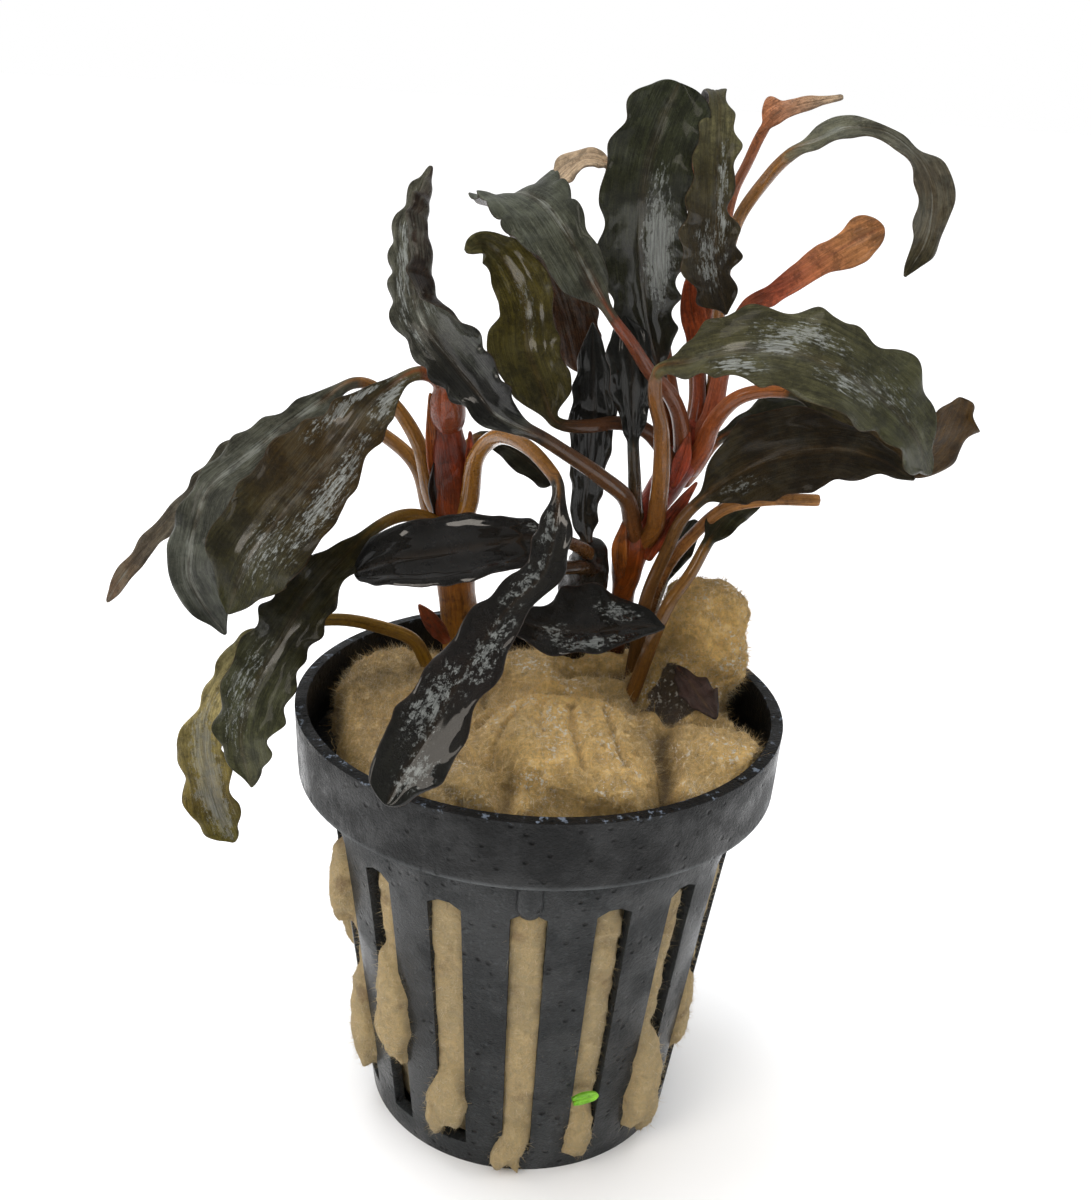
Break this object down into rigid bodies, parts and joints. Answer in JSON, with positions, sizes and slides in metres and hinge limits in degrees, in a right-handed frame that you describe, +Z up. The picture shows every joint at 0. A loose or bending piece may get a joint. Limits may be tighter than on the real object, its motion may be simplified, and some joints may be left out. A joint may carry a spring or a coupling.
{
  "type": "potted bucephalandra",
  "caption": "Small aquarium plant with dark ruffled leaves on reddish stalks, held by rock wool in a black slotted net pot.",
  "frame": {"origin": "middle of the underside of the net pot", "axes": "+Z up, +X to the right of the side the plant was pictured from, -Y towards the viewer"},
  "size_m": [0.0868, 0.0517, 0.1067],
  "materials": {
    "plastic": "black moulded plastic, wet and slightly pitted",
    "wool": "damp tan rock wool",
    "stem_ochre": "smooth ochre stem",
    "stem_red": "smooth red sheath",
    "stem_dark": "wet dark rhizome",
    "leaf_dark": "wet, glossy, black-green",
    "leaf_silver": "satin silver-grey sheen over dark green",
    "leaf_olive": "thin olive blade",
    "leaf_young": "young pink-orange blade",
    "dry_brown": "dead brown leaf tissue",
    "duckweed": "bright green frond"
  },
  "bodies": {
    "root": {"pot": "plastic", "wool_plug": "wool", "wool_wad_left": "wool", "wool_wad_front": "wool", "wool_wad_right": "wool", "shoot_left": "stem_ochre", "shoot_right": "stem_red", "rhizome": "stem_dark", "petiole_cut": "stem_ochre", "leaf_left_front": "leaf_dark", "leaf_left_middle": "leaf_silver", "leaf_left_back": "leaf_silver", "leaf_left_low": "leaf_dark", "leaf_left_tip": "leaf_olive", "leaf_wet_flat": "leaf_dark", "leaf_front_long": "leaf_dark", "leaf_silver": "leaf_silver", "leaf_olive": "leaf_olive", "leaf_grey_arch": "leaf_silver", "leaf_back_small": "leaf_olive", "leaf_tall": "leaf_silver", "leaf_tall_right": "leaf_dark", "leaf_young_top": "leaf_young", "leaf_arch_right": "leaf_silver", "leaf_young_red": "leaf_young", "leaf_right_front": "leaf_dark", "leaf_right_back": "leaf_dark", "leaf_right_inner": "leaf_dark", "leaf_right_twisted": "leaf_dark", "leaf_small_back": "leaf_dark", "leaf_low_back": "leaf_dark", "leaf_dark_centre": "leaf_dark", "leaf_dark_inner": "leaf_dark", "leaf_small_left": "leaf_dark", "leaf_low_front": "leaf_dark", "leaf_young_sheath": "stem_red", "bud_scale": "dry_brown", "dead_leaf_scrap": "dry_brown", "duckweed_frond": "duckweed"}
  },
  "joints": []
}
